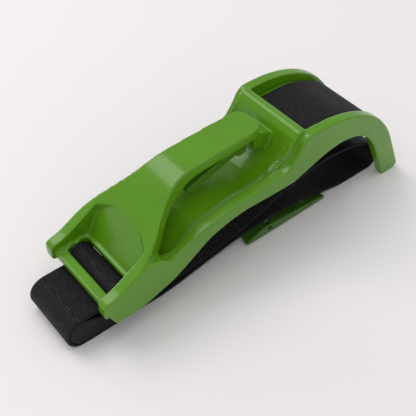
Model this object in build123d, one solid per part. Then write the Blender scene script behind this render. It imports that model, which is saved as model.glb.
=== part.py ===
from build123d import *
import os
from math import atan2, cos, hypot, radians, sin, tan

# Hand tensioner for 50 mm webbing.  Stations run along X from the front edge of the
# nose window, heights along Z from the surface it stands on, and Y is across.
# Everything is moved at the end so that the origin is the middle of the base.

# ---- driving dimensions, millimetres ----
WEB_WIDTH = 50.0          # webbing
WEB_T = 2.4
WEB_CLEAR = 2.2           # room each side of the webbing
SIDE_T = 8.0              # side walls, rails and cheeks
SIDE_ROOM = 2.8           # ledge between webbing room and side wall
NOSE_LENGTH = 44.0
GRIP_LENGTH = 108.0       # tray and handle
REAR_LENGTH = 130.0       # cross wall, saddle and legs
HANDLE_WIDTH = 27.0
HANDLE_WALL = 5.0
WINDOW_LENGTH = 17.0
WINDOW_HALF = 27.2
BAR_DEPTH = 8.0
SCOOP_SLOPE = 62.0
SCOOP_R = 55.6
SCOOP_BACK_X = 37.0
ROLLER_R = 6.5
AXLE_R = 2.5
BUSH_WALL = 1.1
WASHER_R = 6.5
RUN_CLEAR = 0.05          # radial clearance of a turning fit
SKIN_GAP = 0.3            # between webbing and what turns or lies beside it
LOOP_R = 12.1             # front loop, to the middle of the webbing
SADDLE_T = 4.0
PIN_R = 2.0
NECK_HALF = 10.0          # neck between handle and cross wall
TRIGGER_WIDTH = 22.0
TAIL_HALF = 3.6           # half width of the trigger's tail and the cam's arm
LUG_R = 5.0
LUG_NEAR = 4.3             # the two lugs that carry the trigger's pin
LUG_FAR = 7.3
HUB_R = 5.8
CAM_WIDTH = 26.0
CAM_HUB_R = 4.5
CAM_REACH = 10.0
CAM_LENGTH = 21.5         # across, the rest of the cam's room holds its spring
FOOT_LENGTH = 84.0
FOOT_PAD_T = 1.5
FOOT_PIN_R = 2.0
FOOT_HUB_R = 4.5
BRACKET_T = 4.0
SCREW_R = 1.5
SCREW_HEAD_R = 2.8
SCREW_HEAD_T = 1.8
SPRING_WIRE = 0.8

# ---- derived places ----
WEB_HALF = WEB_WIDTH / 2
INNER_HALF = WEB_HALF + WEB_CLEAR + SIDE_ROOM
OUTER_HALF = INNER_HALF + SIDE_T
HANDLE_HALF = HANDLE_WIDTH / 2
GRIP_START = 44.0
GRIP_END = 152.0
NOSE_FIXED = 24.0         # the nose keeps its shape up to here
NOSE_SCALE = (NOSE_LENGTH - NOSE_FIXED) / (GRIP_START - NOSE_FIXED)
GRIP_SCALE = GRIP_LENGTH / (GRIP_END - GRIP_START)
REAR_SCALE = REAR_LENGTH / 130.0


def st(x):
    """Station of a design place: each section stretches with its own length."""
    if x <= NOSE_FIXED:
        return x
    if x <= GRIP_START:
        return NOSE_FIXED + (x - NOSE_FIXED) * NOSE_SCALE
    if x <= GRIP_END:
        return NOSE_LENGTH + (x - GRIP_START) * GRIP_SCALE
    return NOSE_LENGTH + GRIP_LENGTH + (x - GRIP_END) * REAR_SCALE


def at(*points):
    """Outline points with their stations stretched."""
    return [(st(x), z) for x, z in points]


def slab(face, low, high):
    """A face drawn in X and Z, extruded across from y = low to y = high."""
    return extrude(Plane.XZ.offset(-high) * face, amount=high - low)


def plate(points, low, high):
    """A straight-sided outline in X and Z, extruded across."""
    return slab(make_face(Polyline(*points, close=True)), low, high)


def rounded(points, radius):
    """A face in X and Z with every corner rounded alike."""
    return make_face(FilletPolyline(*points, radius=radius, close=True))


def soft_line(points, largest=90.0):
    """An open line whose corners are arcs as large as their two runs allow."""
    radii = []
    for before, here, after in zip(points, points[1:], points[2:]):
        first = atan2(here[1] - before[1], here[0] - before[0])
        last = atan2(after[1] - here[1], after[0] - here[0])
        turn = abs((last - first + radians(180)) % radians(360) - radians(180))
        run_in = hypot(here[0] - before[0], here[1] - before[1])
        run = min(run_in, hypot(after[0] - here[0], after[1] - here[1]))
        radii.append(min(0.45 * run / tan(max(turn, 0.01) / 2), largest))
    return FilletPolyline(*points, radius=radii)


def soft_face(*lines):
    """A face in X and Z bounded by soft lines that follow one another, closed by straight joins."""
    curves = [soft_line(line) if len(line) > 2 else Line(*line) for line in lines]
    edges = []
    for i, curve in enumerate(curves):
        following = curves[(i + 1) % len(curves)]
        edges += curve.edges()
        if (curve @ 1 - following @ 0).length > 0.001:
            edges.append(Line(curve @ 1, following @ 0))
    return make_face(edges)


def eased(points, rounds=2):
    """An open line with its corners cut again and again, until it runs smoothly."""
    for _ in range(rounds):
        cut = [points[0]]
        for (ax, az), (bx, bz) in zip(points, points[1:]):
            cut += [(0.75 * ax + 0.25 * bx, 0.75 * az + 0.25 * bz)]
            cut += [(0.25 * ax + 0.75 * bx, 0.25 * az + 0.75 * bz)]
        points = [*cut, points[-1]]
    return points


def rod(x, z, radius, low, high):
    """A round bar across the tool."""
    return Pos(x, (low + high) / 2, z) * Rot(90, 0, 0) * Cylinder(radius, high - low)


def both_sides(solid):
    """A solid and its mirror image on the other side."""
    return [solid, mirror(solid, about=Plane.XZ)]


def offset_path(points, distance):
    """The corners of a path moved sideways by a distance, to the left of its run."""
    moved = []
    for i, (x, z) in enumerate(points):
        before = points[max(i - 1, 0)]
        after = points[min(i + 1, len(points) - 1)]
        heads = []
        for a, b in ((before, (x, z)), ((x, z), after)):
            if a != b:
                heads.append(atan2(b[1] - a[1], b[0] - a[0]))
        first, last = heads[0], heads[-1]
        half = (last - first) / 2
        reach = distance / cos(half)
        normal = first + half + radians(90)
        moved.append((x + reach * cos(normal), z + reach * sin(normal)))
    return moved


def turn_sign(points, i):
    """+1 where a path turns left at its corner i, -1 where it turns right."""
    (ax, az), (bx, bz), (cx, cz) = points[i - 1], points[i], points[i + 1]
    cross = (bx - ax) * (cz - bz) - (bz - az) * (cx - bx)
    return 1 if cross > 0 else -1


def band(points, radii, thickness):
    """A flat strip of even thickness whose middle follows a path with round corners."""
    half = thickness / 2
    signs = [turn_sign(points, i) for i in range(1, len(points) - 1)]
    left = offset_path(points, half)
    right = offset_path(points, -half)
    left_line = FilletPolyline(*left, radius=[r - s * half for r, s in zip(radii, signs)])
    right_line = FilletPolyline(*right, radius=[r + s * half for r, s in zip(radii, signs)])
    ends = [Line(left[0], right[0]), Line(left[-1], right[-1])]
    return make_face([*left_line.edges(), *right_line.edges(), *ends])


def screw(length):
    """A round-headed screw, head on top, shank down from z = 0."""
    head = Pos(0, 0, SCREW_HEAD_T / 2) * Cylinder(SCREW_HEAD_R, SCREW_HEAD_T)
    socket = Pos(0, 0, SCREW_HEAD_T) * Cylinder(SCREW_R * 0.8, SCREW_HEAD_T)
    shank = Pos(0, 0, -length / 2) * Cylinder(SCREW_R, length)
    return head + shank - socket


def coil(radius, wire, turns, pitch):
    """A round wire wound about Z, from z = 0 up."""
    path = Helix(pitch=pitch, height=pitch * turns, radius=radius)
    section = Plane(origin=path @ 0, z_dir=path % 0) * Circle(wire / 2)
    return sweep(section, path=path)


# ---- places that several pieces share ----
ROLLER_X = WINDOW_LENGTH / 2
ROLLER_Z = 29.5
ROLLER_HALF = WEB_HALF + 1.0
WRAP_R = ROLLER_R + SKIN_GAP + WEB_T / 2
BAR_TOP = 36.8
REAR_BAR_TOP = 38.6
WEB_TOP_Z = 2 * LOOP_R + WEB_T / 2
LOOP_X = -22.5
LOOP_Z = LOOP_R + WEB_T / 2
FLOOR_WEB = WEB_T / 2
TRIGGER_X = st(128.0)
TRIGGER_Z = 86.5
SLOT_X = st(152.0) + 21.6 * REAR_SCALE
CAM_X = SLOT_X - WEB_T / 2 - SKIN_GAP - CAM_REACH
CAM_Z = 72.0
FOOT_X = st(146.0)
FOOT_Z = 6.5
FOOT_FRONT = FOOT_X - 24.0
FOOT_REAR = FOOT_FRONT + FOOT_LENGTH
LEG_TIP = st(282.0)

ABOVE_ALL = 120.0
PIECE_CLEAR = 0.6         # between a fixed wall and what passes it
SADDLE_WEB_Z = 86.0       # middle of the webbing on the level part of the saddle
SADDLE_FOOT_Z = 74.0
SADDLE_BITE = 2.2         # how far its screws reach into it
LEDGE_X = (SLOT_X + 11.0, SLOT_X + 17.8)
LEDGE_END = 3.8
LEDGE_T = 7.0
LEDGE_TOP = SADDLE_WEB_Z - WEB_T / 2 - SKIN_GAP - SADDLE_T
LEDGE_Y = WEB_HALF + 2.2
AXLE_HALF = OUTER_HALF - 2.0
CAM_PIN_HALF = CAM_WIDTH / 2 + 5.0
BRACKET_TOP = 56.0
BRACKET_Y = INNER_HALF + 1.0
BRACKET_SCREW_X = (FOOT_X - 7.0, FOOT_X + 7.0)
BRACKET_FACE = BRACKET_Y + BRACKET_T
BRACKET_SCREW_Y = BRACKET_Y + BRACKET_T / 2
FLANGE_T = 3.0
CLIP_T = 0.8
CORE_ARM_X = 7.5
CORE_ARM_HALF = 8.0
CORE_ARM_Z = 11.0
CORE_SCREW_X = (CORE_ARM_X - 4.0, CORE_ARM_X + 4.0)
CORE_SCREW_Y = INNER_HALF + 4.0
RAIL_FOOT_Z = 20.0
SCREW_HOLE = 12.0
TRIGGER_PIN_END = 9.3
CHANNEL_HALF = TRIGGER_WIDTH / 2 + SKIN_GAP
FOOT_HALF = WEB_HALF + 3.5
FOOT_FAR = WEB_HALF + 0.8
FOOT_FLAT_X = FOOT_FRONT + 30.0
FOOT_TOP_Z = 8.2
FOOT_TIP_Z = 3.4
RIVETS = ((FOOT_FRONT + 25.5, -20.5), (FOOT_FRONT + 64, -20.5), (FOOT_FRONT + 64, 18.0))
TAIL_Z = CAM_Z + 6.0
CAM_LOW = -CAM_WIDTH / 2
CAM_HIGH = CAM_LOW + CAM_LENGTH
SPRING_FOOT = (st(96), 83.6)

# ---- the webbing's route, from its end in the slot to its sewn end ----
SADDLE_RUN = [(SLOT_X, 62.0), (SLOT_X, SADDLE_WEB_Z), (st(208), SADDLE_WEB_Z), *at((243, 71), (259.5, 46.3))]
SADDLE_RADII = [4.0, 60.0, 45.0]
UNDER_RUN = [*at((252.4, 38.6), (240, 58), (222, 62), (204, 57), (190, 44), (164, 37), (140, 25))]
UNDER_RADII = [5.0, 5.0, 8.0, 20.0, 20.0, 16.0, 40.0, 60.0]
RIBBED_RUN = [*at((118, 19), (87, 13), (47, 7.5)), (ROLLER_X + WRAP_R, 12.0)]
RIBBED_RADII = [80.0, 80.0, 20.0, 8.0]


WRAP_TOP = ROLLER_Z + WRAP_R
FOLD_R = 3.0
FRONT_RUN = [(ROLLER_X + WRAP_R, WRAP_TOP), (ROLLER_X - WRAP_R, WRAP_TOP), (ROLLER_X - WRAP_R, WEB_TOP_Z)]
FRONT_RADII = [WRAP_R * 0.999, WRAP_R * 0.999, FOLD_R]
LOOP_RUN = [(LOOP_X - LOOP_R, WEB_TOP_Z), (LOOP_X - LOOP_R, FLOOR_WEB)]
LOOP_RADII = [LOOP_R, LOOP_R * 0.999]
LOWER_RUN = [*at((50, FLOOR_WEB), (87, 8), (118, 12.7), (150, 14), (180, 11.5), (206, 6))]
LOWER_RADII = [120.0, 120.0, 100.0, 100.0, 90.0, 60.0]
EYE_RUN = [*at((228, FLOOR_WEB), (266, FLOOR_WEB), (272, 15), (256, 31), (236, 38.5), (210, 42))]
EYE_RADII = [60.0, 9.0, 12.0, 20.0, 40.0, 60.0]
SEWN_END = [*at((188, 40.4), (167, 35.0))]
SEWN_RADII = [30.0]

ROUTE = [*SADDLE_RUN, *UNDER_RUN, *RIBBED_RUN, *FRONT_RUN, *LOOP_RUN, *LOWER_RUN, *EYE_RUN, *SEWN_END]
ROUTE_RADII = [*SADDLE_RADII, *UNDER_RADII, *RIBBED_RADII, *FRONT_RADII, *LOOP_RADII]
ROUTE_RADII += [*LOWER_RADII, *EYE_RADII, *SEWN_RADII]
FRONT_END = LOOP_X - LOOP_R - WEB_T / 2
MID_X = (FRONT_END + LEG_TIP) / 2


def body_outline():
    """Side wall seen from the side: nose rail, tray rim, cheek and leg."""
    nose = at((-11, 38), (-10, 43), (0, 46), (12, 51.5), (22, 57), (28, 59))
    rim = at((28, 59), (36, 57.5), (45, 50), (58, 54.5), (72, 62.5), (101, 67.5), (137, 69), (152, 71))
    rim += at((160, 82), (164, 90))
    cheek = at((164, 90), (169, 94.5), (190, 94.5), (208, 91), (226, 84.5), (244, 73), (261, 52), (282, 4))
    leg = at((282, 4), (278, 0))
    arch = at((264.5, 0), (256, 20), (246, 42), (236, 57), (223, 65.5), (206, 69), (190, 67), (172, 61))
    pad = [(FOOT_X + 12, BRACKET_TOP), (FOOT_X - 12, BRACKET_TOP)]
    belly = [*at((112, 57), (98, 55.5), (79, 50.5), (62, 39), (47, 29.5)), (30, 24), (18, RAIL_FOOT_Z)]
    return soft_face(nose, rim, cheek, leg, arch, pad, belly, [(18, RAIL_FOOT_Z), (-3, RAIL_FOOT_Z)])


def plan_outline():
    """Plan of the deck that narrows from the nose to the handle."""
    nose = [(-11, OUTER_HALF), (8, OUTER_HALF), (16, OUTER_HALF - 0.2), (24, OUTER_HALF - 1.2)]
    waist = at((32, 33.4), (40, 28.9), (48, 23.5), (56, 18.9), (64, 15.9), (72, 14.4), (80, 13.7))
    grip = [(st(90), HANDLE_HALF), (st(140), HANDLE_HALF)]
    end = [(st(145), HANDLE_HALF - 2.5), (st(147), HANDLE_HALF - 8)]
    side = eased([*nose, *waist, *grip, *end])
    return [*side, *[(x, -y) for x, y in reversed(side)]]


def make_deck():
    """Nose deck, shoulder and handle top as one rising shell, cut to its plan."""
    top = at((-11, 41), (-9, 44), (0, 46), (8, 50.5), (16, 55.2), (24, 60.2), (32, 66), (40, 72.4))
    top += at((48, 79.4), (56, 86), (64, 91.6), (72, 95.4), (82, 97.2), (147, 99.5))
    low = at((147, 90.5), (90, 89), (78, 86), (68, 80), (56, 70), (46, 58), (26, 34))
    low += [(12, 31), (-11, 31)]
    shell = plate([*eased(top), *eased(low, 1)], -OUTER_HALF, OUTER_HALF)
    plan = make_face(Polyline(*plan_outline(), close=True))
    return shell & extrude(plan, amount=ABOVE_ALL)


def make_tray_and_wall():
    """Tray floor, its hollowed rear and the cross wall behind it."""
    arc_r = 35.0
    base = (st(125), 61.5)
    steps = range(0, 81, 10)
    hollow = [(base[0] + arc_r * sin(radians(a)), base[1] + arc_r * (1 - cos(radians(a)))) for a in steps]
    crest_x = hollow[-1][0]
    rear = SLOT_X - WEB_T / 2 - PIECE_CLEAR
    floor = at((20, 38), (30, 42), (44, 44), (58, 52), (72, 59), (101, 62))
    crest = [(crest_x + 4, 95.2), (crest_x + 6.5, 96.4), (rear - 1.5, 95.5), (rear, 93.5)]
    low = [(rear, 62.0), *at((158, 57.5), (134, 57.5), (116, 57.5), (98, 56), (79, 51), (47, 30))]
    low += [(30, 21), (22, 18.5)]
    return plate([*floor, *hollow, *crest, *low], -INNER_HALF - 2, INNER_HALF + 2)


def make_bars():
    """The two cross bars that frame the nose window."""
    lip = 2.4
    front = [(-BAR_DEPTH, BAR_TOP - 6), (-BAR_DEPTH, BAR_TOP), (0, BAR_TOP), (0, BAR_TOP - lip)]
    front += [(-2.4, BAR_TOP - 6)]
    length = WINDOW_LENGTH
    rear = [(length, REAR_BAR_TOP - 3), (length, REAR_BAR_TOP), (length + 9, REAR_BAR_TOP + 1)]
    rear += [(length + 9, REAR_BAR_TOP - 9), (length + 3, REAR_BAR_TOP - 8)]
    reach = INNER_HALF + 2
    return [plate(front, -reach, reach), plate(rear, -reach, reach)]


def pocket_cutter():
    """What is taken out of the nose deck: the window's sunk land and the scoop behind it."""
    foot_x, foot_z = WINDOW_LENGTH + 3, REAR_BAR_TOP + 0.4
    rise = 36.0
    head = (foot_x + rise / tan(radians(SCOOP_SLOPE)), foot_z + rise)
    profile = [(-14, BAR_TOP), (0, BAR_TOP), (WINDOW_LENGTH, REAR_BAR_TOP), (foot_x, foot_z), head,
               (head[0], ABOVE_ALL), (-14, ABOVE_ALL)]
    hollow = plate(profile, -WINDOW_HALF - 2, WINDOW_HALF + 2)
    return hollow & Pos(SCOOP_BACK_X - SCOOP_R, 0, 0) * Cylinder(SCOOP_R, 2 * ABOVE_ALL)


def window_cutter():
    """The nose window, straight through, and the notch in front of its front bar."""
    notch = Pos(-BAR_DEPTH - 3, 0, BAR_TOP) * Box(6, 2 * WINDOW_HALF + 4, 24)
    return Pos(WINDOW_LENGTH / 2, 0, BAR_TOP) * Box(WINDOW_LENGTH, 2 * WINDOW_HALF, 24) + notch


def make_ribs():
    """Stiffening webs in the hollow under the shoulder."""
    web = at((38, 46), (38, 56), (50, 70), (62, 80), (70, 82), (62, 70), (54, 52), (50, 47))
    rib = plate(web, 10.0, 12.5)
    return both_sides(rib)


def make_handle_parts():
    """Neck to the cross wall, the trigger's lugs and the channel they stand in."""
    outline = at((138, 90.5), (138, 80), (150, 73.5), (164, 73.5), (164, 82), (149, 90.5))
    neck = plate(outline, -NECK_HALF, NECK_HALF)
    lug = rod(TRIGGER_X, TRIGGER_Z, LUG_R, LUG_NEAR, LUG_FAR)
    low, high = TRIGGER_X - LUG_R, TRIGGER_X + LUG_R
    wall = plate([(low, TRIGGER_Z), (high, TRIGGER_Z), (high, 95), (low, 95)], LUG_NEAR, LUG_FAR)
    channel = plate(at((74, 70), (74, 86), (86, 93.5), (141, 94.5), (141, 70)), -CHANNEL_HALF, CHANNEL_HALF)
    return neck, both_sides(lug + wall), channel


def cam_hollow():
    """Room in the cross wall for the cam, and the slot that lets the trigger's tail in."""
    half = CAM_WIDTH / 2 + 0.5
    front = CAM_X - CAM_HUB_R - 0.7
    room = plate([(front, CAM_Z - 6), (front, CAM_Z + 4), (CAM_X + 1, CAM_Z + 12),
                  (SLOT_X, CAM_Z + 12), (SLOT_X, CAM_Z - 14), (CAM_X - 2, CAM_Z - 14)], -half, half)
    tail = plate([(st(134), 75), (st(134), 92.5), (CAM_X - 10, 85), (front + 2, 81), (front + 2, CAM_Z - 5),
                  (CAM_X - 12.5, CAM_Z - 4), (CAM_X - 12.5, 75)], -TAIL_HALF - 0.8, TAIL_HALF + 0.8)
    return room + tail


def saddle_ledges():
    """Small ledges inside the cheeks that the saddle is screwed to."""
    low, high = WEB_HALF + 0.4, INNER_HALF + 1.0
    start, end = LEDGE_X[0] - LEDGE_END, LEDGE_X[1] + LEDGE_END
    low_z = LEDGE_TOP - LEDGE_T
    corners = [(start, low_z), (end, low_z), (end, LEDGE_TOP), (start, LEDGE_TOP)]
    return both_sides(plate(corners, low, high))


def make_frame_body():
    """The one-piece moulding that everything else is fixed to."""
    near, far = both_sides(slab(body_outline(), INNER_HALF, OUTER_HALF))
    neck, lugs, channel = make_handle_parts()
    body = near + far + (make_deck() - pocket_cutter()) + make_tray_and_wall()
    for piece in [*make_bars(), *make_ribs(), *saddle_ledges(), neck]:
        body = body + piece
    body = body - (window_cutter() + channel + cam_hollow())
    for lug in lugs:
        body = body + lug
    body = body - rod(ROLLER_X, ROLLER_Z, WRAP_R + WEB_T / 2 + 0.6, -WEB_HALF - 1, WEB_HALF + 1)
    body = body - rod(ROLLER_X, ROLLER_Z, WASHER_R + 0.4, -INNER_HALF, INNER_HALF)
    body = body - rod(ROLLER_X, ROLLER_Z, AXLE_R, -AXLE_HALF, AXLE_HALF)
    body = body - rod(TRIGGER_X, TRIGGER_Z, PIN_R, -LUG_FAR, LUG_FAR)
    body = body - rod(CAM_X, CAM_Z, PIN_R, -CAM_PIN_HALF, CAM_PIN_HALF)
    for x in LEDGE_X:
        for y in (-LEDGE_Y, LEDGE_Y):
            body = body - Pos(x, y, LEDGE_TOP - 4) * Cylinder(SCREW_R, SCREW_HOLE)
    for x in BRACKET_SCREW_X:
        body = body - Pos(x, BRACKET_SCREW_Y, BRACKET_TOP) * Cylinder(SCREW_R, 2 * SCREW_HOLE)
    for x in CORE_SCREW_X:
        body = body - Pos(x, CORE_SCREW_Y, RAIL_FOOT_Z) * Cylinder(SCREW_R, SCREW_HOLE)
    return body


def make_saddle():
    """Curved plate between the cheeks that carries the webbing over the top."""
    shift = WEB_T / 2 + SKIN_GAP + SADDLE_T / 2
    corners = offset_path([*SADDLE_RUN, UNDER_RUN[0]], -shift)
    foot = (corners[0][0], SADDLE_FOOT_Z)
    before, turn = corners[3], corners[4]
    run = hypot(turn[0] - before[0], turn[1] - before[1])
    last = tuple(turn[i] + (before[i] - turn[i]) * SADDLE_T * 1.5 / run for i in (0, 1))
    radii = [max(r - shift, SADDLE_T / 2 + 0.2) for r in SADDLE_RADII]
    face = band([foot, *corners[1:4], last], radii, SADDLE_T)
    saddle = slab(face, -INNER_HALF + 0.1, INNER_HALF - 0.1)
    for x in LEDGE_X:
        for y in (-LEDGE_Y, LEDGE_Y):
            saddle = saddle - Pos(x, y, LEDGE_TOP) * Cylinder(SCREW_R, 2 * SADDLE_BITE)
    return saddle


def make_saddle_screws():
    """Four screws driven up through the ledges into the saddle."""
    screws = []
    for x in LEDGE_X:
        for y in (-LEDGE_Y, LEDGE_Y):
            seat = Pos(x, y, LEDGE_TOP - LEDGE_T) * Rot(180, 0, 0)
            screws.append(seat * screw(LEDGE_T + SADDLE_BITE - 0.2))
    return screws


def make_roller():
    """Front roller under the webbing, bored for its bushes."""
    tube = rod(ROLLER_X, ROLLER_Z, ROLLER_R, -ROLLER_HALF, ROLLER_HALF)
    return tube - rod(ROLLER_X, ROLLER_Z, AXLE_R + RUN_CLEAR + BUSH_WALL, -ROLLER_HALF, ROLLER_HALF)


def make_bushes():
    """A plain bush in each end of the roller."""
    length = 8.0
    bush = rod(ROLLER_X, ROLLER_Z, AXLE_R + RUN_CLEAR + BUSH_WALL, ROLLER_HALF - length, ROLLER_HALF)
    bush = bush - rod(ROLLER_X, ROLLER_Z, AXLE_R + RUN_CLEAR, 0, ROLLER_HALF + 1)
    return both_sides(bush)


def make_washers():
    """Spacers on the axle between the roller and the side walls."""
    low, high = ROLLER_HALF + SKIN_GAP, INNER_HALF
    washer = rod(ROLLER_X, ROLLER_Z, WASHER_R, low, high) - rod(ROLLER_X, ROLLER_Z, AXLE_R, low, high)
    return both_sides(washer)


def make_core():
    """Guide core that the front loop of webbing wraps, carried by one arm from the far rail."""
    nose = Pos(LOOP_X, LOOP_Z) * Circle(LOOP_R - WEB_T / 2 - SKIN_GAP)
    tail_r = 3.6
    tail = Pos(CORE_ARM_X + 5.5, WEB_T + SKIN_GAP + tail_r) * Circle(tail_r)
    core = slab(make_hull([*nose.edges(), *tail.edges()]), -WEB_HALF, WEB_HALF)
    low, high = CORE_ARM_X - CORE_ARM_HALF, CORE_ARM_X + CORE_ARM_HALF
    post_half = 4.5
    post = plate([(CORE_ARM_X - post_half, 5.0), (CORE_ARM_X + post_half, 5.0),
                  (high, CORE_ARM_Z), (high, RAIL_FOOT_Z), (low, RAIL_FOOT_Z), (low, CORE_ARM_Z)],
                 WEB_HALF, OUTER_HALF - 1)
    core = core + post
    for x in CORE_SCREW_X:
        core = core - Pos(x, CORE_SCREW_Y, RAIL_FOOT_Z) * Cylinder(SCREW_R, 2 * RAIL_FOOT_Z)
    return core


def make_core_screws():
    """Two screws up through the core's arm into the far rail."""
    length = RAIL_FOOT_Z + SCREW_HOLE / 2 - CORE_ARM_Z - 1.0
    return [Pos(x, CORE_SCREW_Y, CORE_ARM_Z) * Rot(180, 0, 0) * screw(length) for x in CORE_SCREW_X]


def make_trigger():
    """Release lever under the handle, with a slotted hub and a tail that reaches the cam."""
    lever = at((79, 72.5), (84, 71), (118, 82), (128, 84), (128, 92), (120, 90), (84, 78.2), (79, 76))
    grip = slab(rounded(lever, 1.2), -TRIGGER_WIDTH / 2, TRIGGER_WIDTH / 2)
    hub = rod(TRIGGER_X, TRIGGER_Z, HUB_R, -TRIGGER_WIDTH / 2, TRIGGER_WIDTH / 2)
    tip = CAM_X - 8.0
    tail = plate([(TRIGGER_X, 83), (TRIGGER_X, 91), (TRIGGER_X + 6, 90.5), (tip, 82), (tip, TAIL_Z),
                  (tip - 3, TAIL_Z), (TRIGGER_X + 6, 84)], -TAIL_HALF, TAIL_HALF)
    trigger = grip + hub + tail
    low, high = TRIGGER_X - LUG_R - 0.9, TRIGGER_X + LUG_R + 0.9
    slot = plate([(low, TRIGGER_Z), (high, TRIGGER_Z), (high, ABOVE_ALL), (low - 2, ABOVE_ALL)],
                 LUG_NEAR - SKIN_GAP, LUG_FAR + SKIN_GAP)
    slot = slot + rod(TRIGGER_X, TRIGGER_Z, LUG_R + 0.9, LUG_NEAR - SKIN_GAP, LUG_FAR + SKIN_GAP)
    for side in both_sides(slot):
        trigger = trigger - side
    return trigger - rod(TRIGGER_X, TRIGGER_Z, PIN_R + RUN_CLEAR, -TRIGGER_PIN_END - 0.2, TRIGGER_WIDTH)


def make_cam():
    """Toothed cam that holds the webbing in the slot, with an arm the trigger presses."""
    teeth, tooth_depth = 7, 1.2
    low_angle, high_angle = -34.0, 30.0
    step = (high_angle - low_angle) / teeth
    outline = []
    for i in range(teeth + 1):
        angle = low_angle + i * step
        reach = CAM_REACH * (1 - 0.0022 * abs(angle))
        peak = radians(angle + 0.35 * step)
        root, angle = reach - tooth_depth, radians(angle)
        outline.append((CAM_X + root * cos(angle), CAM_Z + root * sin(angle)))
        if i < teeth:
            outline.append((CAM_X + reach * cos(peak), CAM_Z + reach * sin(peak)))
    blade = plate([(CAM_X, CAM_Z - CAM_HUB_R), *outline, (CAM_X, CAM_Z + CAM_HUB_R)], CAM_LOW, CAM_HIGH)
    hub = rod(CAM_X, CAM_Z, CAM_HUB_R, CAM_LOW, CAM_HIGH)
    arm = plate([(CAM_X, CAM_Z - 2.5), (CAM_X - 9, TAIL_Z - 4), (CAM_X - 9, TAIL_Z - SKIN_GAP),
                 (CAM_X - 5, TAIL_Z - SKIN_GAP), (CAM_X, CAM_Z + 3)], -TAIL_HALF, TAIL_HALF)
    return blade + hub + arm - rod(CAM_X, CAM_Z, PIN_R + RUN_CLEAR, -CAM_WIDTH, CAM_WIDTH)


def turned_coil(x, z, low, radius, turns):
    """A close coil round a pin that lies across the tool, starting at y = low."""
    pitch = SPRING_WIRE * 1.25
    return Pos(x, low + SPRING_WIRE, z) * Rot(-90, 0, 0) * coil(radius, SPRING_WIRE, turns, pitch)


def foot_outline(rise):
    """The foot from the side, its top raised by a rim height."""
    top = [(FOOT_FRONT, 3.0), (FOOT_FRONT + 8, 5.0 + rise), (FOOT_FRONT + 17, FOOT_TOP_Z + rise)]
    top += [(FOOT_FLAT_X, FOOT_TOP_Z + rise), (FOOT_REAR - 1, FOOT_TIP_Z + rise), (FOOT_REAR, 2.4)]
    return [(FOOT_FRONT + 2, FOOT_PAD_T), *top, (FOOT_REAR - 2, FOOT_PAD_T)]


def make_foot():
    """Foot plate under the webbing, raised at its rim and hinged at a cross hub."""
    sole = plate(foot_outline(0.0), -FOOT_HALF, FOOT_FAR)
    rim = plate(foot_outline(1.3), -FOOT_HALF, -WEB_HALF - 0.6)
    hub = rod(FOOT_X, FOOT_Z, FOOT_HUB_R, -12.0, FOOT_FAR)
    corner = [(FOOT_FRONT - 5, -FOOT_HALF), (FOOT_FRONT, -FOOT_HALF),
              (FOOT_FRONT + 16, FOOT_HALF), (FOOT_FRONT - 5, FOOT_HALF)]
    foot = sole + rim + hub - extrude(make_face(Polyline(*corner, close=True)), ABOVE_ALL)
    for rivet in make_rivets():
        foot = foot - rivet
    return foot - rod(FOOT_X, FOOT_Z, FOOT_PIN_R + RUN_CLEAR, -FOOT_HALF, FOOT_HALF)


def make_foot_pad():
    """Grip pad under the foot, pierced for its rivets."""
    length = FOOT_LENGTH - 26
    width = FOOT_HALF + FOOT_FAR - 6
    middle = (FOOT_FRONT + 20 + length / 2, (FOOT_FAR - FOOT_HALF) / 2)
    pad = Pos(*middle, FOOT_PAD_T / 2) * Box(length, width, FOOT_PAD_T)
    for x, y in RIVETS:
        pad = pad - Pos(x, y, 0) * Cylinder(SCREW_R, 4 * FOOT_PAD_T)
    return pad


def rivet_top(x):
    """Height of the foot's upper face at a station."""
    run = FOOT_REAR - 1 - FOOT_FLAT_X
    return FOOT_TOP_Z - max(x - FOOT_FLAT_X, 0) * (FOOT_TOP_Z - FOOT_TIP_Z) / run


def make_rivets():
    """Rivets through the pad and the foot plate, with low round heads."""
    rivets = []
    for x, y in RIVETS:
        top = rivet_top(x)
        shank = Pos(x, y, (top + 0.3) / 2 + 0.2) * Cylinder(SCREW_R, top - 0.1)
        head = Pos(x, y, top + 0.35) * Cylinder(SCREW_R + 0.9, 0.7)
        rivets.append(shank + head)
    return rivets


def make_bracket():
    """Far-side bracket that hangs from the body and carries the foot's pin."""
    flange = Pos(FOOT_X, BRACKET_SCREW_Y, BRACKET_TOP - FLANGE_T / 2) * Box(22, 6.4, FLANGE_T)
    neck, eye = 3.6, 5.5
    leg = plate([(FOOT_X - neck, BRACKET_TOP), (FOOT_X + neck, BRACKET_TOP), (FOOT_X + eye, FOOT_Z + 4),
                 (FOOT_X + eye, 1.5), (FOOT_X - eye, 1.5), (FOOT_X - eye, FOOT_Z + 4)],
                BRACKET_Y, BRACKET_FACE)
    bracket = flange + leg
    for x in BRACKET_SCREW_X:
        bracket = bracket - Pos(x, BRACKET_SCREW_Y, BRACKET_TOP) * Cylinder(SCREW_R, 2 * SCREW_HOLE)
    return bracket - rod(FOOT_X, FOOT_Z, FOOT_PIN_R, BRACKET_Y, BRACKET_FACE)


def make_bracket_screws():
    """Two screws up through the bracket's flange."""
    low_z = BRACKET_TOP - FLANGE_T
    return [Pos(x, BRACKET_SCREW_Y, low_z) * Rot(180, 0, 0) * screw(SCREW_HOLE) for x in BRACKET_SCREW_X]


def make_pin_clip():
    """Snap ring that keeps the foot pin in its bracket."""
    low, high = BRACKET_FACE, BRACKET_FACE + CLIP_T
    return rod(FOOT_X, FOOT_Z, FOOT_PIN_R + 1.4, low, high) - rod(FOOT_X, FOOT_Z, FOOT_PIN_R, low, high)


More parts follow.
